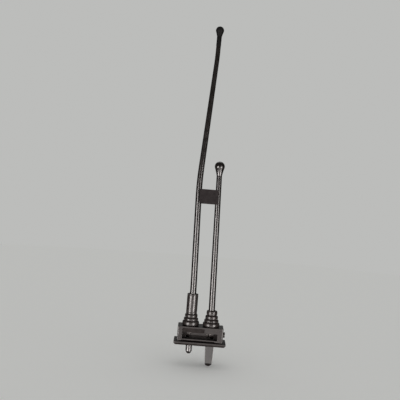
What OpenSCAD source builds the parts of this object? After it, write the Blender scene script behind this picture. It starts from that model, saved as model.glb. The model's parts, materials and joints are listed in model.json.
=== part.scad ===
// Signal mast with two whips on a base that lets it tip backwards.
// Frame: the origin is the centre of the base plate's underside. +Z runs up along the whips,
// the window side of the housing faces -Y, and the long whip is at -X. Lengths are millimetres.

/* [Base plate] */
// Width of the base plate, left to right
plate_w = 18.4; // [17:0.1:24]
// Depth of the base plate, front to back
plate_d = 8.4; // [7.6:0.1:12]
// Thickness of the base plate
plate_t = 1.2; // [1:0.05:1.6]

/* [Pegs] */
// Distance of each whip and each peg from the centre line
post_x = 3.65; // [3.4:0.05:4]
// Diameter of the round locating peg
locating_d = 2.28; // [2:0.02:2.6]
// Length of the round locating peg, with its round end
locating_l = 3.7; // [3:0.1:5]
// Width of the flat-faced key peg at the plate
key_w = 3; // [2.8:0.05:3.4]
// Width of the key peg at its tip
key_tip_w = 2.54; // [2.2:0.02:2.6]
// Front-to-back depth of the key peg
key_d = 2.3; // [1.8:0.1:2.6]
// Length of the key peg
key_l = 7.6; // [6:0.05:10]

/* [Housing] */
// Width of the housing
housing_w = 16.15; // [15.8:0.05:16.8]
// Front-to-back depth of the housing
housing_d = 7.2; // [6.8:0.1:7.4]
// Height of the housing
housing_h = 4.9; // [4.8:0.05:5.3]
// Thickness of the front wall
wall_t = 0.8; // [0.7:0.05:0.85]
// Thickness of the rear wall
rear_t = 0.6; // [0.5:0.05:0.65]
// Thickness of the side walls
side_t = 1.1; // [0.8:0.05:1.3]
// Thickness of the deck that carries the whips
deck_t = 0.9; // [0.7:0.05:1]
// Gap under the housing when the mast is upright
seat_gap = 0.35; // [0.25:0.05:0.4]

/* [Hinge] */
// Height of the pivot pin above the base plate
pin_rise = 2.6; // [2.5:0.05:2.7]
// Diameter of the pivot pin
pin_d = 0.9; // [0.7:0.05:1]
// Outer diameter of the hinge barrel
barrel_d = 2.2; // [1.8:0.05:2.3]
// How far the mast tips back, in degrees
lean_back = 60; // [30:5:60]

/* [Whips] */
// Diameter of both whips at the deck
whip_d = 2.3; // [2:0.05:2.4]
// Height of the top of the sleeve on the long whip
sleeve_top = 17.7; // [14:0.1:22]
// Height at which the tip of the long whip starts
long_tip_z = 110.4; // [108:0.1:125]
// Height at which the bulb of the short whip starts
short_tip_z = 60.35; // [58:0.05:63]
// Sideways lean of the short whip, in millimetres for each millimetre of height
short_lean = 0.0254; // [0.02:0.0002:0.03]
// Height of the middle of the brace between the whips
brace_z = 52.6; // [50:0.05:54]

/* [Hidden] */
$fn = 48;

// Colours of the three plastics and of the blackened steel
mould_black = "#2b2826";
whip_black = "#242120";
base_black = "#302c2a";
steel_black = "#3b3836";

// Clearances
fit = 0.02;
running_fit = 0.04;
eps = 0.5;

// Places worked out from the driving sizes
pin_z = plate_t + pin_rise;
pin_r = pin_d / 2;
heel_gap = 0.12;
heel_r = pin_rise - heel_gap;
housing_z = plate_t + seat_gap;
deck_top = housing_z + housing_h;
deck_under = deck_top - deck_t;
whip_r = whip_d / 2;

// Base plate and its fixings
plate_corner_r = 0.4;
plate_chamfer_d = 0.55;
plate_chamfer_h = 0.65;
rivet_r = 0.8;
peg_fillet = 0.3;
key_lead = 1.1;
key_lead_d = 0.8;
web_y = [-0.2, 0.9];
foot_h = 0.9;
lug_x = [4.9, 6.85];
lug_r = 0.9;
lug_foot = 1.9;
tenon_x = [-2.2, 1];
tenon_y = [-0.15, 0.65];
saddle_x = 3.8;
saddle_h = 1.65;
saddle_gap = 0.1;
fence_y = [1.35, 1.55];
fence_h = 2.5;
fence_notch_h = 1.85;
fence_gap = 0.06;

// Housing details
housing_corner_r = 0.45;
window_x = [-6.4, 6.05];
window_z = [0.62, 2.95];
recess_x = [-6.4, 1.4];
recess_top = 4.42;
recess_d = [0.1, 0.5];
relief_x = [-6.4, 5.2];
relief_h = 0.25;
relief_d = 0.4;
groove_x = -7.55;
groove_w = 0.35;
groove_z = [0.57, 1.87];
cheek_x = 3.92;
cheek_t = 0.9;
cheek_r = 1.2;
stop_pad = 0.9;
stop_pad_at = [7.45, -2.9];

// The stack on the pivot pin, from left to right: each span is [left end, right end]
barrel_r = barrel_d / 2;
barrel_x = [-3.5, 2.26];
barrel_flat = 0.8;
washer_step = 0.12;
washer_r = barrel_r + washer_step;
left_washer_x = [-3.88, -3.54];
inner_washer_x = [2.3, 2.68];
spacer_x = [2.72, 3.2];
spacer_step = 0.15;
spacer_r = barrel_r - spacer_step;
outer_washer_x = [3.24, 3.6];
collar_x = [3.64, 3.88];
head_r = 0.95;
head_t = 0.72;
slot_w = 0.42;
slot_d = 0.42;

// Rings from the deck upwards: [diameter, height]
left_rings = [[6, 1.65], [5.15, 1.1], [4.5, 1.35]];
right_rings = [[6, 1.55], [5.15, 1.05], [4.5, 1.4], [3.85, 1.75]];
ring_edge_r = 0.45;
sleeve_d = 3.9;

// Long whip: it leaves the sleeve upright, leans out, bends back in at the brace, and its top
// droops to the rear. Each bend is [start height, end height, change of slope along X, along Y].
long_bends = [
    [sleeve_top, sleeve_top + 6, -0.0225, 0],
    [brace_z - 2, brace_z + 12, 0.0875, 0],
    [brace_z + 8.5, brace_z + 16.5, 0, 0.06],
    [long_tip_z - 11, long_tip_z - 3, -0.053, 0]
];
ferrule_l = 3.3;
ferrule_r = 0.87;

// Radius of the long whip at three heights: it tapers a little up to the brace, and then to the
// ferrule. The swept tube starts inside the sleeve.
brace_taper = 0.05;
taper_l = 10;
long_radii = [
    [sleeve_top, whip_r],
    [brace_z, whip_r - brace_taper],
    [long_tip_z - taper_l, ferrule_r - fit]
];
tube_sink = 1;
whip_sides = 14;
whip_stations = 44;
ball_r = 1.48;
ball_rise = 2.45;

// Short whip: straight above its rings, with a slight lean towards the long whip that starts
// just inside the top ring
short_sink = 0.1;
short_tip_r = 0.97;
bulb_r = 1.8;
bulb_rise = 3.3;

// Brace between the whips
brace_x = [-4.03, 2.72];
brace_h = 5.2;
brace_d = 2.7;
brace_notch = [0.45, 0.6];
brace_clearance = 0.06;

// Smooth step from 0 to 1, and the distance that a slope following it has gained
function share(z, a, b) = min(max((z - a) / (b - a), 0), 1);
function step(z, a, b) = let (u = share(z, a, b)) u * u * (3 - 2 * u);
function gain(z, a, b) = let (u = share(z, a, b)) (b - a) * u * u * u * (1 - u / 2) + max(z - b, 0);
function total(list) = len(list) == 0 ? 0 : list * [for (v = list) 1];

// Centre line and slope of the long whip at a height
function long_centre(z) = [
    total([for (b = long_bends) b[2] * gain(z, b[0], b[1])]) - post_x,
    total([for (b = long_bends) b[3] * gain(z, b[0], b[1])]),
    z
];
function long_slope(z) = [
    total([for (b = long_bends) b[2] * step(z, b[0], b[1])]),
    total([for (b = long_bends) b[3] * step(z, b[0], b[1])])
];

// Height of the underside of ring i in a stack
function ring_z(rings, i) = deck_top + (i == 0 ? 0 : total([for (k = [0 : i - 1]) rings[k][1]]));

short_start_z = ring_z(right_rings, len(right_rings)) - short_sink;
function short_centre(z) = [post_x - short_lean * (z - short_start_z), 0, z];

// A rectangle with round corners, centred
module round_rect(w, d, r) {
    square([w - 2 * r, d], center = true);
    square([w, d - 2 * r], center = true);
    for (sx = [-1, 1])
        for (sy = [-1, 1])
            translate([sx * (w / 2 - r), sy * (d / 2 - r)])
                circle(r);
}

// Extrudes an outline drawn in (Y, Z) along X, from x[0] to x[1]
module along_x(x) {
    translate([x[0], 0, 0])
        rotate([90, 0, 90])
            linear_extrude(x[1] - x[0])
                children();
}

// A cylinder on the pivot axis, from x[0] to x[1]
module on_pin(x, r) {
    translate([x[0], 0, pin_z])
        rotate([0, 90, 0])
            cylinder(r = r, h = x[1] - x[0]);
}

// A washer, spacer or collar that turns on the pivot pin
module pin_ring(x, r) {
    difference() {
        on_pin(x, r);
        on_pin([x[0] - eps, x[1] + eps], pin_r + running_fit);
    }
}

// A turned ring with round outer edges, bored for a whip
module whip_ring(x, z, d, h) {
    bore_r = whip_r + fit;
    edge = min(ring_edge_r, h / 3, (d / 2 - bore_r) / 2);
    translate([x, 0, z])
        rotate_extrude()
            union() {
                translate([bore_r, 0])
                    square([d / 2 - edge - bore_r, h]);
                translate([bore_r, edge])
                    square([d / 2 - bore_r, h - 2 * edge]);
                for (corner_z = [edge, h - edge])
                    translate([d / 2 - edge, corner_z])
                        circle(edge);
            }
}

// A ball on a cone that runs tangent into it, with the neck at the origin
module drop_tip(neck_r, r, rise) {
    tangent = asin(r / norm([neck_r, rise])) - atan2(neck_r, rise);
    translate([0, 0, rise])
        sphere(r);
    cylinder(r1 = neck_r, r2 = r * cos(tangent), h = rise - r * sin(tangent));
}

// Side outline of the base plate over a width or a depth, with its lower edges chamfered
module plate_outline(w) {
    polygon([
        [-w / 2, plate_t],
        [-w / 2, plate_chamfer_h],
        [plate_chamfer_d - w / 2, 0],
        [w / 2 - plate_chamfer_d, 0],
        [w / 2, plate_chamfer_h],
        [w / 2, plate_t]
    ]);
}

module base_plate() {
    color(base_black)
        difference() {
            intersection() {
                linear_extrude(plate_t)
                    round_rect(plate_w, plate_d, plate_corner_r);
                along_x([-plate_w, plate_w])
                    plate_outline(plate_d);
                rotate([90, 0, 0])
                    linear_extrude(2 * plate_d, center = true)
                        plate_outline(plate_w);
            }
            for (sx = [-1, 1])
                translate([sx * post_x, 0, -eps])
                    cylinder(r = rivet_r + fit, h = plate_t + 2 * eps);
            translate([tenon_x[0] - fit, tenon_y[0] - fit, -eps])
                cube([
                    tenon_x[1] - tenon_x[0] + 2 * fit,
                    tenon_y[1] - tenon_y[0] + 2 * fit,
                    plate_t + 2 * eps
                ]);
        }
}

module locating_peg() {
    r = locating_d / 2;
    color(base_black)
        translate([-post_x, 0, 0]) {
            cylinder(r = rivet_r, h = plate_t);
            translate([0, 0, r - locating_l]) {
                cylinder(r = r, h = locating_l - r);
                sphere(r);
            }
            rotate_extrude()
                translate([r - fit, -peg_fillet])
                    difference() {
                        square([peg_fillet + fit, peg_fillet]);
                        translate([peg_fillet + fit, 0])
                            circle(peg_fillet);
                    }
        }
}

module key_peg() {
    tip_r = key_tip_w / 2;
    color(base_black)
        translate([post_x, 0, 0]) {
            cylinder(r = rivet_r, h = plate_t);
            intersection() {
                rotate([90, 0, 0])
                    linear_extrude(key_d, center = true) {
                        polygon([
                            [-key_w / 2, 0],
                            [-tip_r, tip_r - key_l],
                            [tip_r, tip_r - key_l],
                            [key_w / 2, 0]
                        ]);
                        translate([0, tip_r - key_l])
                            circle(tip_r);
                    }
                along_x([-key_w, key_w])
                    polygon([
                        [-key_d / 2, 0],
                        [-key_d / 2, key_lead - key_l],
                        [key_lead_d - key_d / 2, -key_l],
                        [key_d / 2 - key_lead_d, -key_l],
                        [key_d / 2, key_lead - key_l],
                        [key_d / 2, 0]
                    ]);
            }
        }
}

// Closes the view through the window behind the barrel. It is cut low behind each cheek, which
// swings over it when the mast tips back.
module fence() {
    fence_d = fence_y[1] - fence_y[0];
    difference() {
        translate([-lug_x[1], fence_y[0], plate_t])
            cube([2 * lug_x[1], fence_d, fence_h]);
        for (x = [-cheek_x - cheek_t, cheek_x])
            translate([x - fence_gap, fence_y[0] - eps, plate_t + fence_notch_h])
                cube([cheek_t + 2 * fence_gap, fence_d + 2 * eps, fence_h]);
    }
}

// The barrel, flat in front and on its web, a hollowed saddle under the washers beside it, and an
// outer lug at each end of the foot, with a front that slopes out towards the plate
module hinge_block() {
    web_d = web_y[1] - web_y[0];
    lug_w = lug_x[1] - lug_x[0];
    color(base_black)
        difference() {
            union() {
                difference() {
                    on_pin(barrel_x, barrel_r);
                    translate([barrel_x[0] - eps, -barrel_r - eps, plate_t])
                        cube([barrel_x[1] - barrel_x[0] + 2 * eps, barrel_r - barrel_flat + eps, housing_h]);
                }
                translate([barrel_x[0] + fit, web_y[0], plate_t])
                    cube([barrel_x[1] - barrel_x[0] - 2 * fit, web_d, pin_rise]);
                difference() {
                    translate([-saddle_x, web_y[0], plate_t])
                        cube([2 * saddle_x, web_d, saddle_h]);
                    on_pin([-saddle_x - eps, saddle_x + eps], washer_r + saddle_gap);
                }
                translate([-lug_x[1], web_y[0], plate_t])
                    cube([2 * lug_x[1], fence_y[1] - web_y[0], foot_h]);
                fence();
                for (x = [-lug_x[1], lug_x[0]]) {
                    on_pin([x, x + lug_w], lug_r);
                    along_x([x, x + lug_w])
                        polygon([
                            [-lug_foot, plate_t],
                            [lug_r, plate_t],
                            [lug_r, pin_z],
                            [-lug_r, pin_z]
                        ]);
                }
                translate([tenon_x[0], tenon_y[0], 0])
                    cube([tenon_x[1] - tenon_x[0], tenon_y[1] - tenon_y[0], plate_t + eps]);
            }
            on_pin([-housing_w, housing_w], pin_r + running_fit);
        }
}

// Side outline of the housing in (Y, Z): the heel is an arc about the pin, and the face behind
// it lies flat over the base plate when the mast is tipped right back
module housing_outline() {
    rear = housing_d / 2;
    under = housing_z - pin_z;
    heel = [heel_r * sin(lean_back), -heel_r * cos(lean_back)];
    rear_z = (rear * sin(lean_back) - heel_r) / cos(lean_back);
    translate([0, pin_z]) {
        intersection() {
            circle(heel_r);
            translate([-heel_r, under])
                square(2 * heel_r);
        }
        polygon([
            [-rear, under],
            [0, under],
            heel,
            [rear, rear_z],
            [rear, deck_top - pin_z],
            [-rear, deck_top - pin_z]
        ]);
    }
}

// Everything that is cut out of the housing from the front
module housing_cuts() {
    front = -housing_d / 2 - eps;
    translate([window_x[0], front, housing_z + window_z[0]])
        cube([window_x[1] - window_x[0], wall_t + 2 * eps, window_z[1] - window_z[0]]);
    along_x(recess_x)
        translate([-housing_d / 2, housing_z])
            polygon([
                [-eps, window_z[1] - fit],
                [recess_d[0], window_z[1] - fit],
                [recess_d[1], recess_top],
                [-eps, recess_top]
            ]);
    along_x(relief_x)
        translate([-housing_d / 2, housing_z])
            polygon([
                [-eps, relief_h],
                [0, relief_h],
                [relief_d, 0],
                [relief_d, -eps],
                [-eps, -eps]
            ]);
    translate([groove_x - groove_w / 2, front, housing_z + groove_z[0]])
        cube([groove_w, groove_w + eps, groove_z[1] - groove_z[0]]);
}

module bracket_housing() {
    half_w = housing_w / 2;
    color(mould_black)
        difference() {
            union() {
                difference() {
                    intersection() {
                        along_x([-half_w, half_w])
                            housing_outline();
                        linear_extrude(deck_top)
                            round_rect(housing_w, housing_d, housing_corner_r);
                    }
                    translate([side_t - half_w, wall_t - housing_d / 2, 0])
                        cube([housing_w - 2 * side_t, housing_d - wall_t - rear_t, deck_under]);
                    housing_cuts();
                }
                for (x = [-cheek_x - cheek_t, cheek_x]) {
                    on_pin([x, x + cheek_t], cheek_r);
                    translate([x, -cheek_r, pin_z])
                        cube([cheek_t, 2 * cheek_r, deck_under - pin_z + fit]);
                }
                for (side = [-1, 1])
                    translate([side * stop_pad_at[0], stop_pad_at[1], housing_z])
                        cube([stop_pad, stop_pad, 2 * (seat_gap - fit)], center = true);
            }
            for (side = [-1, 1])
                translate([side * post_x, 0, deck_under - eps])
                    cylinder(r = whip_r + fit, h = deck_t + 2 * eps);
            on_pin([-half_w - eps, half_w + eps], pin_r + fit);
        }
}

module pivot_pin() {
    half_w = housing_w / 2;
    color(steel_black)
        difference() {
            union() {
                on_pin([-half_w, half_w + eps], pin_r);
                on_pin([half_w, half_w + head_t], head_r);
            }
            translate([half_w + head_t - slot_d, -head_r - eps, pin_z - slot_w / 2])
                cube([slot_d + eps, 2 * (head_r + eps), slot_w]);
        }
}

module friction_washer_left() {
    color(steel_black)
        pin_ring(left_washer_x, washer_r);
}

module friction_washer_inner() {
    color(steel_black)
        pin_ring(inner_washer_x, washer_r);
}

module friction_washer_outer() {
    color(steel_black)
        pin_ring(outer_washer_x, washer_r);
}

module hinge_spacer() {
    color(mould_black)
        pin_ring(spacer_x, spacer_r);
}

module thrust_collar() {
    color(steel_black)
        pin_ring(collar_x, barrel_r);
}

module left_ring(i) {
    color(mould_black)
        whip_ring(-post_x, ring_z(left_rings, i), left_rings[i][0], left_rings[i][1]);
}

module right_ring(i) {
    color(mould_black)
        whip_ring(post_x, ring_z(right_rings, i), right_rings[i][0], right_rings[i][1]);
}

module whip_sleeve() {
    sleeve_z = ring_z(left_rings, len(left_rings));
    color(mould_black)
        whip_ring(-post_x, sleeve_z, sleeve_d, sleeve_top - sleeve_z);
}

// The long whip is upright up to the top of its sleeve, and a swept tube above it. A section
// of the tube is square to the centre line, so that the ferrule meets its end face to face.
module long_whip() {
    low = sleeve_top - tube_sink;
    high = long_tip_z - ferrule_l;
    heights = [for (i = [0 : whip_stations]) low + (high - low) * i / whip_stations];
    points = [
        for (z = heights)
            let (c = long_centre(z), s = long_slope(z), r = lookup(z, long_radii) - fit)
            for (k = [0 : whip_sides - 1])
                let (x = r * cos(360 * k / whip_sides), y = r * sin(360 * k / whip_sides))
                c + [x, y, -x * s[0] - y * s[1]]
    ];
    sides = [
        for (i = [0 : whip_stations - 1])
            for (k = [0 : whip_sides - 1])
                let (next = (k + 1) % whip_sides, a = i * whip_sides, b = a + whip_sides)
                each [[a + k, b + k, b + next], [a + k, b + next, a + next]]
    ];
    ends = [
        [for (k = [0 : whip_sides - 1]) k],
        [for (k = [whip_sides - 1 : -1 : 0]) whip_stations * whip_sides + k]
    ];
    color(whip_black) {
        translate([-post_x, 0, deck_under])
            cylinder(r = whip_r, h = sleeve_top - eps - deck_under);
        polyhedron(points, concat(sides, ends));
    }
}

// Places its children at a height on the long whip, in line with it
module on_long_whip(z) {
    slope = long_slope(z);
    translate(long_centre(z))
        rotate([-atan(slope[1]), atan(slope[0]), 0])
            children();
}

module tip_ferrule() {
    color(mould_black)
        on_long_whip(long_tip_z - ferrule_l)
            cylinder(r = ferrule_r, h = ferrule_l);
}

module tip_ball() {
    color(mould_black)
        on_long_whip(long_tip_z - ferrule_l)
            translate([0, 0, ferrule_l])
                drop_tip(ferrule_r, ball_r, ball_rise);
}

module on_short_whip(z) {
    translate(short_centre(z))
        rotate([0, -atan(short_lean), 0])
            children();
}

module short_whip() {
    length = norm(short_centre(short_tip_z) - short_centre(short_start_z));
    color(whip_black) {
        translate([post_x, 0, deck_under])
            cylinder(r = whip_r, h = short_start_z + fit - deck_under);
        on_short_whip(short_start_z)
            cylinder(r1 = whip_r - fit, r2 = short_tip_r, h = length);
    }
}

module tip_bulb() {
    color(mould_black)
        on_short_whip(short_tip_z)
            drop_tip(short_tip_r, bulb_r, bulb_rise);
}

module cross_brace() {
    low = brace_z - brace_h / 2;
    groove_h = brace_h + 2 * eps;
    color(mould_black)
        difference() {
            translate([brace_x[0], -brace_d / 2, low])
                cube([brace_x[1] - brace_x[0], brace_d, brace_h]);
            on_long_whip(brace_z)
                cylinder(r = lookup(brace_z, long_radii) + brace_clearance, h = groove_h, center = true);
            on_short_whip(brace_z)
                cylinder(r = whip_r, h = groove_h, center = true);
            translate([brace_x[0] - eps, -brace_d, low - eps])
                cube([brace_notch[0] + eps, 2 * brace_d, brace_notch[1] + eps]);
        }
}

base_plate();
locating_peg();
key_peg();
hinge_block();
bracket_housing();
pivot_pin();
friction_washer_left();
friction_washer_inner();
friction_washer_outer();
hinge_spacer();
thrust_collar();
for (i = [0 : len(left_rings) - 1])
    left_ring(i);
for (i = [0 : len(right_rings) - 1])
    right_ring(i);
whip_sleeve();
long_whip();
tip_ferrule();
tip_ball();
short_whip();
tip_bulb();
cross_brace();
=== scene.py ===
"""Looks for the signal mast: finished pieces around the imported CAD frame, materials, light and camera.

Pieces are shaped in millimetres, in the CAD frame, and as_piece() takes them to Blender's metres. The floor,
the lights and the camera are in metres.
"""

import json
import math

import bmesh
import bpy
from mathutils import Matrix, Vector


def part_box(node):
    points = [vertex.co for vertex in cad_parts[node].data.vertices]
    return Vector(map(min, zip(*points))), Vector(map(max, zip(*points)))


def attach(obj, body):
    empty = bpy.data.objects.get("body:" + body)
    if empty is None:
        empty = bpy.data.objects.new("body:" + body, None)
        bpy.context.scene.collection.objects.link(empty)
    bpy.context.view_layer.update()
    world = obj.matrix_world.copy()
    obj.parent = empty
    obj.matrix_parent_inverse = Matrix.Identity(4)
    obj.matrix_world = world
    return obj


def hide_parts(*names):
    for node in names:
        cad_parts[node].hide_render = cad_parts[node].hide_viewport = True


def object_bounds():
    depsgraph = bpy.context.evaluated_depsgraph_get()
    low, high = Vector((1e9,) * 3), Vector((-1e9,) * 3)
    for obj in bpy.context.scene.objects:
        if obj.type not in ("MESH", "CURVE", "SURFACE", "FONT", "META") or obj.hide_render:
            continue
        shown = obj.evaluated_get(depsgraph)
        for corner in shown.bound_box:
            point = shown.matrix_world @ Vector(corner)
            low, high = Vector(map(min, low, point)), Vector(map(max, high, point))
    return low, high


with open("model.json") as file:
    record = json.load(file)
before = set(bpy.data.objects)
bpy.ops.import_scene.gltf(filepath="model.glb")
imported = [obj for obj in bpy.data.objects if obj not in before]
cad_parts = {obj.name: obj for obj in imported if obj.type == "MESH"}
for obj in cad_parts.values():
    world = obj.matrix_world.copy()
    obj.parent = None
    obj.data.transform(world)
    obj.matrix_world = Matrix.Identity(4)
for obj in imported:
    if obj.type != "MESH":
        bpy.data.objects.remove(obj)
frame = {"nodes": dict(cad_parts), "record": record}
cad_low, cad_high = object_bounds()
MM = 0.001
# Vertices closer than this, in millimetres, are one.
MERGE_MM = 1e-3
SLOT_OF = {p["node"]: p["material_slot"] for p in frame["record"]["subparts"]}
BODY_OF = {n: b for b, members in frame["record"]["behaviour"]["bodies"].items() for n in members}


# ---------------------------------------------------------------- reading the CAD frame

def box_mm(node):
    """Lowest and highest corner of a CAD node."""
    low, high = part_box(node)
    return low / MM, high / MM


def vertices_mm(node):
    """Every vertex of a CAD node."""
    return [v.co / MM for v in frame["nodes"][node].data.vertices]


def mount_radius(name):
    """Radius of one of the record's round mounts."""
    return next(m["dims"]["r_mm"] for m in frame["record"]["mounts"] if m["name"] == name)


def slices(node, gap=0.4):
    """Centre and radius of each ring of vertices along a CAD rod, from the bottom up.

    A ring ends where the next vertex is higher than its last one by more than the gap.
    """
    points = sorted(vertices_mm(node), key=lambda p: p.z)
    rings = [[points[0]]]
    for point in points[1:]:
        if point.z - rings[-1][-1].z > gap:
            rings.append([])
        rings[-1].append(point)
    found = []
    for members in rings:
        unique = {(round(p.x, 3), round(p.y, 3)): p for p in members}.values()
        centre = sum(unique, Vector()) / len(unique)
        found.append((centre, max((p - centre).length for p in unique)))
    return found


def upright(node):
    """A frame at the bottom centre of an upright round node, with its radius and height."""
    low, high = box_mm(node)
    centre = (low + high) / 2
    return Matrix.Translation((centre.x, centre.y, low.z)), (high.x - low.x) / 2, high.z - low.z


def on_pin(node):
    """A frame at the left end of a round node on the pivot axis, with its radius and length."""
    low, high = box_mm(node)
    centre = (low + high) / 2
    place = Matrix.Translation((low.x, centre.y, centre.z)) @ Matrix.Rotation(math.pi / 2, 4, "Y")
    return place, (high.z - low.z) / 2, high.x - low.x


def at_tip(node):
    """A frame at the top end of a rod, with Z along the rod, and the rod's radius there."""
    (below, _), (end, radius) = slices(node)[-2:]
    turn = Vector((0, 0, 1)).rotation_difference(end - below).to_matrix().to_4x4()
    return Matrix.Translation(end) @ turn, radius


def bore_of(node, place):
    """Radius of a ring's bore: the distance of its nearest vertex from the Z axis of its frame."""
    into_frame = place.inverted()
    return min((into_frame @ p).xy.length for p in vertices_mm(node))


# ---------------------------------------------------------------- outlines of (radius, height) points

def arc(centre, radius, start_deg, end_deg, steps):
    """An arc. Its angles start at the radius axis and grow towards the height axis."""
    angles = (math.radians(start_deg + (end_deg - start_deg) * i / steps) for i in range(steps + 1))
    return [Vector(centre) + radius * Vector((math.cos(a), math.sin(a))) for a in angles]


def curve(start, bend, end, steps):
    """A curve that leaves the start towards the bend, and comes to the end from it."""
    shares = (i / steps for i in range(steps + 1))
    return [start.lerp(bend, t).lerp(bend.lerp(end, t), t) for t in shares]


def fillet(outline, radius, steps=5, limit=0.49):
    """The outline with its inner corners rounded. Its two ends stay.

    A corner takes up no more than the limit, a share of each side that meets there.
    """
    points = [Vector(p) for p in outline]
    rounded = [points[0]]
    for before, corner, after in zip(points, points[1:], points[2:]):
        to_before = before - corner
        to_after = after - corner
        turn = to_before.angle(to_after)
        reach = min(radius / math.tan(turn / 2), limit * to_before.length, limit * to_after.length)
        start = corner + to_before.normalized() * reach
        end = corner + to_after.normalized() * reach
        rounded += curve(start, corner, end, steps)
    return rounded + [points[-1]]


def tube_outline(bore, radius, length, edge):
    """A plain tube, or a solid cylinder where the bore is 0, with rounded rims."""
    return fillet([(bore, 0), (radius, 0), (radius, length), (bore, length)], edge, steps=3)


def drop_outline(neck, radius, rise, hollow=0.12, bend_at=0.45, steps=18):
    """A ball on a neck, its centre at the rise. The flank between them is a curve that hollows in a little.

    The curve's bend is a share of the way up the straight flank, and is moved in by the hollow.
    """
    tangent = math.asin(radius / math.hypot(neck, rise)) - math.atan2(neck, rise)
    ball = arc((0, rise), radius, -math.degrees(tangent), 90, steps)
    start = Vector((neck, 0))
    bend = start.lerp(ball[0], bend_at) - Vector((hollow, 0))
    flank = curve(start, bend, ball[0], steps)
    return [Vector((0, 0))] + flank[:-1] + ball


# ---------------------------------------------------------------- meshes and pieces

def as_piece(node, bm, smooth_deg=40):
    """Turns a bmesh in millimetres into a piece that stands for a CAD node and rides with its body."""
    bmesh.ops.recalc_face_normals(bm, faces=bm.faces)
    bm.transform(Matrix.Scale(MM, 4))
    mesh = bpy.data.meshes.new(node)
    bm.to_mesh(mesh)
    bm.free()
    for face in mesh.polygons:
        face.use_smooth = True
    mesh.set_sharp_from_angle(angle=math.radians(smooth_deg))
    piece = bpy.data.objects.new(node, mesh)
    bpy.context.scene.collection.objects.link(piece)
    mesh.materials.append(materials[SLOT_OF[node]])
    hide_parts(node)
    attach(piece, BODY_OF[node])
    return piece


def lathe(bm, outline, place, segments=72):
    """Adds an outline, turned round its own Z axis and put in place."""
    rings = []
    for radius, height in outline:
        if radius < MERGE_MM:
            rings.append([bm.verts.new(place @ Vector((0, 0, height)))])
            continue
        angles = (2 * math.pi * k / segments for k in range(segments))
        rings.append([
            bm.verts.new(place @ Vector((radius * math.cos(a), radius * math.sin(a), height))) for a in angles
        ])
    for low, high in zip(rings, rings[1:]):
        for k in range(segments):
            after = k + 1
            corners = [low[k % len(low)], low[after % len(low)], high[after % len(high)], high[k % len(high)]]
            distinct = list(dict.fromkeys(corners))
            if len(distinct) > 2:
                bm.faces.new(distinct)


def cap_ends(bm):
    """Closes every open loop of edges with a face."""
    bmesh.ops.holes_fill(bm, edges=[e for e in bm.edges if e.is_boundary], sides=0)


def turned(node, outline, place, closed=False):
    """A lathe-turned piece. A closed outline comes back to its own start, as a ring's does."""
    bm = bmesh.new()
    lathe(bm, list(outline) + ([outline[0]] if closed else []), place)
    bmesh.ops.remove_doubles(bm, verts=bm.verts, dist=MERGE_MM)
    cap_ends(bm)
    as_piece(node, bm)


def catmull(points, per_span):
    """A smooth line through the points, with per_span steps between each pair."""
    padded = [points[0] * 2 - points[1]] + points + [points[-1] * 2 - points[-2]]
    line = []
    for a, b, c, d in zip(padded, padded[1:], padded[2:], padded[3:]):
        for i in range(per_span):
            t = i / per_span
            line.append(0.5 * (
                2 * b + (c - a) * t + (2 * a - 5 * b + 4 * c - d) * t ** 2 + (3 * b - a - 3 * c + d) * t ** 3
            ))
    return line + [points[-1]]


def rod(node, rings, per_span, segments=36):
    """A round rod with flat ends, along the centres of the rings and with their radii."""
    line = catmull([Vector((*centre, radius)) for centre, radius in rings], per_span)
    centres = [p.xyz for p in line]
    radii = [p.w for p in line]
    bm = bmesh.new()
    loops = []
    for i, centre in enumerate(centres):
        ahead = centres[min(i + 1, len(centres) - 1)] - centres[max(i - 1, 0)]
        turn = Vector((0, 0, 1)).rotation_difference(ahead).to_matrix()
        angles = (2 * math.pi * k / segments for k in range(segments))
        loops.append([
            bm.verts.new(centre + turn @ Vector((radii[i] * math.cos(a), radii[i] * math.sin(a), 0)))
            for a in angles
        ])
    for low, high in zip(loops, loops[1:]):
        for k in range(segments):
            after = (k + 1) % segments
            bm.faces.new([low[k], low[after], high[after], high[k]])
    cap_ends(bm)
    as_piece(node, bm)


def softened(node, edge, segments=3, flat_deg=0.5, sharp_deg=28):
    """A copy of a CAD node with its flats merged and its sharp edges rounded."""
    bm = bmesh.new()
    bm.from_mesh(frame["nodes"][node].data)
    bm.transform(Matrix.Scale(1 / MM, 4))
    bmesh.ops.remove_doubles(bm, verts=bm.verts, dist=MERGE_MM)
    bmesh.ops.dissolve_limit(
        bm, angle_limit=math.radians(flat_deg), verts=bm.verts, edges=bm.edges, delimit={"NORMAL"}
    )
    sharp = [
        e for e in bm.edges
        if len(e.link_faces) == 2 and e.calc_face_angle(0) > math.radians(sharp_deg)
    ]
    bmesh.ops.bevel(
        bm, geom=sharp, offset=edge, segments=segments, profile=0.5, affect="EDGES", clamp_overlap=True
    )
    bmesh.ops.triangulate(bm, faces=[f for f in bm.faces if len(f.verts) > 4])
    piece = as_piece(node, bm, smooth_deg=50)
    # The flats stay flat up to their rounded edges.
    flats = piece.modifiers.new("flats", "WEIGHTED_NORMAL")
    flats.weight = 100
    flats.keep_sharp = True


# ---------------------------------------------------------------- materials

# How many features a noise has in a millimetre, and between which of its values it works.
MOTTLE_PER_MM = 0.45
MOTTLE_RANGE = (0.32, 0.72)
PATCHES_PER_MM = 0.9
PATCHES_RANGE = (0.3, 0.7)
RUB_PER_MM = 1.6
RUB_RANGE = (0.42, 0.7)
# The mottle's darkest and palest shade, as shares of a plastic's colour.
MOTTLE_SHADES = (0.78, 1.3)
# What the glossiest and the dullest patch add to a plastic's roughness.
PATCHES_GLOSS = (-0.045, 0.06)
GRAIN_DEPTH_MM = 0.02
STEEL_COLOUR = (0.05, 0.045, 0.043)
STEEL_WORN = (0.13, 0.12, 0.115)
STEEL_METALLIC = 0.65
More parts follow.
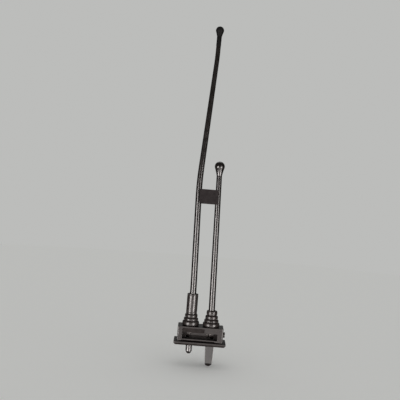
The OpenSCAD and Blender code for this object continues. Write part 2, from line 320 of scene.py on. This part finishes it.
# Roughness of the steel where it isn't rubbed, and where it is rubbed most.
STEEL_ROUGHNESS = (0.42, 0.28)


def new_material(slot):
    """A new material, with its node tree and its shader."""
    material = bpy.data.materials.new(slot)
    material.use_nodes = True
    return material, material.node_tree, material.node_tree.nodes["Principled BSDF"]


def noise(tree, per_mm, detail):
    """The output of a noise in the piece's own coordinates."""
    where = tree.nodes.new("ShaderNodeTexCoord")
    texture = tree.nodes.new("ShaderNodeTexNoise")
    texture.inputs["Scale"].default_value = per_mm / MM
    texture.inputs["Detail"].default_value = detail
    tree.links.new(where.outputs["Object"], texture.inputs["Vector"])
    return texture.outputs["Fac"]


def tint(tree, value, value_range, colours, socket):
    """Feeds a colour socket, from the first colour at the range's low end to the second at its high end."""
    ramp = tree.nodes.new("ShaderNodeValToRGB")
    for stop, position, colour in zip(ramp.color_ramp.elements, value_range, colours):
        stop.position = position
        stop.color = (*colour, 1)
    tree.links.new(value, ramp.inputs["Fac"])
    tree.links.new(ramp.outputs["Color"], socket)


def vary(tree, value, value_range, results, socket):
    """Feeds a number socket, from the first result at the range's low end to the second at its high end."""
    spread = tree.nodes.new("ShaderNodeMapRange")
    for name, setting in zip(("From Min", "From Max", "To Min", "To Max"), (*value_range, *results)):
        spread.inputs[name].default_value = setting
    tree.links.new(value, spread.inputs["Value"])
    tree.links.new(spread.outputs["Result"], socket)


def plastic(slot, colour, roughness, grain_mm, bump, lustre):
    """Black moulded plastic: a faint mottle in the colour, patchy gloss, and a fine moulded grain."""
    material, tree, shader = new_material(slot)
    shader.inputs["Specular IOR Level"].default_value = lustre

    mottle = noise(tree, MOTTLE_PER_MM, detail=4)
    shades = [[c * shade for c in colour] for shade in MOTTLE_SHADES]
    tint(tree, mottle, MOTTLE_RANGE, shades, shader.inputs["Base Color"])

    patches = noise(tree, PATCHES_PER_MM, detail=6)
    finish = [roughness + change for change in PATCHES_GLOSS]
    vary(tree, patches, PATCHES_RANGE, finish, shader.inputs["Roughness"])

    grain = noise(tree, 1 / grain_mm, detail=3)
    relief = tree.nodes.new("ShaderNodeBump")
    relief.inputs["Strength"].default_value = bump
    relief.inputs["Distance"].default_value = GRAIN_DEPTH_MM * MM
    tree.links.new(grain, relief.inputs["Height"])
    tree.links.new(relief.outputs["Normal"], shader.inputs["Normal"])
    return material


def blackened(slot, colour, worn):
    """Chemically blackened steel, worn brighter and glossier where a coarse noise says it was rubbed."""
    material, tree, shader = new_material(slot)
    shader.inputs["Metallic"].default_value = STEEL_METALLIC
    rub = noise(tree, RUB_PER_MM, detail=5)
    tint(tree, rub, RUB_RANGE, (colour, worn), shader.inputs["Base Color"])
    vary(tree, rub, (0, 1), STEEL_ROUGHNESS, shader.inputs["Roughness"])
    return material


# Each plastic's colour, roughness, grain size in millimetres, strength of grain, and lustre.
PLASTICS = {
    "base_plastic": ((0.014, 0.0115, 0.011), 0.40, 0.10, 0.35, 0.38),
    "peg_plastic": ((0.0065, 0.0055, 0.0052), 0.32, 0.10, 0.3, 1.0),
    "mast_plastic": ((0.013, 0.0105, 0.010), 0.30, 0.12, 0.28, 0.5),
    "whip_plastic": ((0.0075, 0.0065, 0.006), 0.22, 0.35, 0.04, 0.5),
    "bulb_plastic": ((0.0075, 0.0065, 0.006), 0.18, 0.30, 0.02, 0.65),
    "ball_plastic": ((0.0048, 0.0047, 0.0046), 0.5, 0.10, 0.3, 0.04),
    "brace_plastic": ((0.0105, 0.0085, 0.0088), 0.42, 0.09, 0.35, 0.12),
}
materials = {slot: plastic(slot, *look) for slot, look in PLASTICS.items()}
materials["blackened_steel"] = blackened("blackened_steel", STEEL_COLOUR, STEEL_WORN)


# ---------------------------------------------------------------- turned pieces

RING_CROWN = 0.07
SLEEVE_EDGE = 0.2
WASHER_EDGE = 0.08
FERRULE_EDGE = 0.06


def make_rings():
    """The stepped rings. The wall of each is crowned, and runs into well rounded rims."""
    for node in frame["nodes"]:
        if node.startswith(("left_ring_", "right_ring_")):
            place, radius, height = upright(node)
            bore = bore_of(node, place)
            rim = radius - RING_CROWN
            wall = [(bore, 0), (rim, 0), (radius, height / 2), (rim, height), (bore, height)]
            turned(node, fillet(wall, height / 3), place, closed=True)


def make_sleeve():
    """The long sleeve, with a shallow turned groove near each end."""
    place, radius, height = upright("whip_sleeve")
    bore = bore_of("whip_sleeve", place)
    groove_depth = 0.05
    groove_half_w = 0.12
    low_groove = 0.62
    top_groove = height - 0.43
    outline = [(bore, 0), (radius, 0)]
    for middle in (low_groove, top_groove):
        outline.append((radius, middle - groove_half_w))
        outline.append((radius - groove_depth, middle))
        outline.append((radius, middle + groove_half_w))
    outline += [(radius, height), (bore, height)]
    turned("whip_sleeve", fillet(outline, SLEEVE_EDGE), place, closed=True)


def make_washers():
    """The washers, spacer and collar, each with a bore that clears the pin and rounded rims."""
    for node in ("friction_washer_left", "friction_washer_inner", "friction_washer_outer",
                 "hinge_spacer", "thrust_collar"):
        place, radius, length = on_pin(node)
        turned(node, tube_outline(bore_of(node, place), radius, length, WASHER_EDGE), place, closed=True)


def make_locating_peg():
    """Round peg with a domed end, a fillet where it leaves the plate, and its rivet above."""
    low, high = box_mm("locating_peg")
    centre = (low + high) / 2
    radius = mount_radius("locating_peg")
    flare = (high.x - low.x) / 2
    fillet_r = flare - radius
    top = [p for p in vertices_mm("locating_peg") if p.z > high.z - MERGE_MM]
    rivet = max((p - centre).xy.length for p in top)
    dome = arc((0, low.z + radius), radius, -90, 0, steps=15)
    root = arc((flare, -fillet_r), fillet_r, 180, 90, steps=6)
    outline = dome + root + [(rivet, 0), (rivet, high.z), (0, high.z)]
    turned("locating_peg", outline, Matrix.Translation((centre.x, centre.y, 0)))


def make_tips():
    """The ferrule and ball on the long whip, and the bulb on the short one."""
    place, _ = at_tip("long_whip")
    (foot, radius), (top, _) = slices("tip_ferrule")
    length = (top - foot).length
    turned("tip_ferrule", tube_outline(0, radius, length, FERRULE_EDGE), place)

    low, high = box_mm("tip_ball")
    ball_r = (high.x - low.x) / 2
    rise = high.z - ball_r - top.z
    turned("tip_ball", drop_outline(radius, ball_r, rise), place @ Matrix.Translation((0, 0, length)))

    place, neck = at_tip("short_whip")
    low, high = box_mm("tip_bulb")
    bulb_r = (high.y - low.y) / 2
    rise = high.z - bulb_r - place.translation.z
    turned("tip_bulb", drop_outline(neck, bulb_r, rise), place)


# ---------------------------------------------------------------- whips

def make_long_whip():
    """The rod passes through the corners of the CAD tube's sides, which are on the true radius."""
    # It is straight from its foot to this depth inside the sleeve.
    sleeve_depth = 2
    rings = slices("long_whip")
    start_z = box_mm("whip_sleeve")[1].z - sleeve_depth
    rod("long_whip", [rings[0], *(r for r in rings if r[0].z > start_z)], per_span=4)


def make_short_whip():
    """The rod is straight from its foot to its top end."""
    rings = slices("short_whip")
    rod("short_whip", [rings[0], *rings[-2:]], per_span=24)


# ---------------------------------------------------------------- block pieces

# The edge radius of each flat-sided piece, from its moulding.
BLOCK_EDGES = {
    "base_plate": 0.14,
    "key_peg": 0.2,
    "hinge_block": 0.1,
    "bracket_housing": 0.13,
    "cross_brace": 0.12,
    "pivot_pin": 0.1,
}


def make_blocks():
    for node, edge in BLOCK_EDGES.items():
        softened(node, edge)


# ---------------------------------------------------------------- stage, light and camera

FLOOR_GAP = 0.05 * MM
FLOOR_R = 0.45
FLOOR_PALE = (0.985, 0.985, 0.98)
BACKGROUND = (0.503, 0.507, 0.496)

# The camera faces the window side square on and is rolled, so the mast leans to the right.
AIM = Vector((-3.78, 0, 51.21)) * MM
CAMERA_DISTANCE = 230 * MM
FRAME_HEIGHT = 142.86 * MM
ROLL = math.radians(4.5)
SENSOR_WIDTH = 36
CLIP_START = 0.01
CLIP_END = 10

WARM = (1.0, 0.95, 0.925)
NEUTRAL = (1.0, 0.99, 0.98)
LIGHT_DISTANCE = 0.6
# Each light's azimuth and elevation in degrees, width and height, radiance, and colour. Azimuth 0 is the
# camera's side, positive to its right. The two banks draw a line down each side of the rods, and the rest are
# weak.
SOFTBOXES = {
    "bank_left": (-41, -13, (0.26, 0.285), 20, WARM),
    "bank_right": (41, -13, (0.26, 0.285), 17.5, WARM),
    "fill_front": (0, -17, (0.22, 0.34), 1.3, WARM),
    "fill_low": (0, -30, (0.22, 0.14), 2.5, WARM),
    "rear_low": (180, 9, (0.9, 0.3), 0.15, NEUTRAL),
    "rear_left": (-138, -32, (0.3, 0.2), 3, NEUTRAL),
    "rear_right": (138, -32, (0.3, 0.2), 3, NEUTRAL),
    "top_rear": (180, 55, (0.5, 0.5), 0.9, NEUTRAL),
}


def make_floor():
    """A pale round floor just under the pegs. It runs out into a world of the same tone.

    Returns the collection that keeps the lights off it, so that its tone is as even as the world's.
    """
    bm = bmesh.new()
    bmesh.ops.create_circle(bm, cap_ends=True, radius=FLOOR_R, segments=96)
    bm.transform(Matrix.Translation((0, 0, cad_low.z - FLOOR_GAP)))
    mesh = bpy.data.meshes.new("floor")
    bm.to_mesh(mesh)
    bm.free()
    floor = bpy.data.objects.new("floor", mesh)
    bpy.context.scene.collection.objects.link(floor)
    pale = bpy.data.materials.new("floor_pale")
    pale.use_nodes = True
    nodes = pale.node_tree.nodes
    matt = nodes.new("ShaderNodeBsdfDiffuse")
    matt.inputs["Color"].default_value = (*FLOOR_PALE, 1)
    pale.node_tree.links.new(matt.outputs["BSDF"], nodes["Material Output"].inputs["Surface"])
    mesh.materials.append(pale)
    # The front lights hang lower than the floor, and shine through it. The gloss doesn't mirror it.
    floor.visible_shadow = False
    floor.visible_glossy = False
    unlit = bpy.data.collections.new("unlit")
    unlit.objects.link(floor)
    unlit.collection_objects[0].light_linking.link_state = "EXCLUDE"
    return unlit


def softbox(name, azimuth, elevation, size, radiance, colour, unlit):
    """An area light that faces the part, and leaves what is unlit dark."""
    a = math.radians(azimuth)
    e = math.radians(elevation)
    back = Vector((math.sin(a) * math.cos(e), -math.cos(a) * math.cos(e), math.sin(e)))
    data = bpy.data.lights.new(name, "AREA")
    data.shape = "RECTANGLE"
    data.size, data.size_y = size
    data.energy = math.pi * data.size * data.size_y * radiance
    data.color = colour
    light = bpy.data.objects.new(name, data)
    light.location = AIM + back * LIGHT_DISTANCE
    light.rotation_mode = "QUATERNION"
    light.rotation_quaternion = (-back).to_track_quat("-Z", "Y")
    light.visible_camera = False
    light.light_linking.receiver_collection = unlit
    bpy.context.scene.collection.objects.link(light)


def make_lights(unlit):
    for name, settings in SOFTBOXES.items():
        softbox(name, *settings, unlit)


def make_world():
    """The even tone all round, which reaches the camera and the floor but isn't mirrored in the gloss."""
    world = bpy.data.worlds.new("studio")
    world.use_nodes = True
    world.node_tree.nodes["Background"].inputs["Color"].default_value = (*BACKGROUND, 1)
    world.cycles_visibility.glossy = False
    bpy.context.scene.world = world


def make_camera():
    data = bpy.data.cameras.new("camera")
    data.sensor_width = SENSOR_WIDTH
    data.lens = SENSOR_WIDTH * CAMERA_DISTANCE / FRAME_HEIGHT
    data.clip_start = CLIP_START
    data.clip_end = CLIP_END
    camera = bpy.data.objects.new("camera", data)
    right = Vector((math.cos(ROLL), 0, math.sin(ROLL)))
    up = Vector((-math.sin(ROLL), 0, math.cos(ROLL)))
    back = Vector((0, -1, 0))
    turn = Matrix((right, up, back)).transposed().to_4x4()
    camera.matrix_world = Matrix.Translation(AIM + back * CAMERA_DISTANCE) @ turn
    bpy.context.scene.collection.objects.link(camera)
    bpy.context.scene.camera = camera


bpy.context.scene.view_settings.view_transform = "Standard"
make_camera()
make_world()
make_lights(make_floor())
make_rings()
make_sleeve()
make_washers()
make_locating_peg()
make_long_whip()
make_short_whip()
make_tips()
make_blocks()
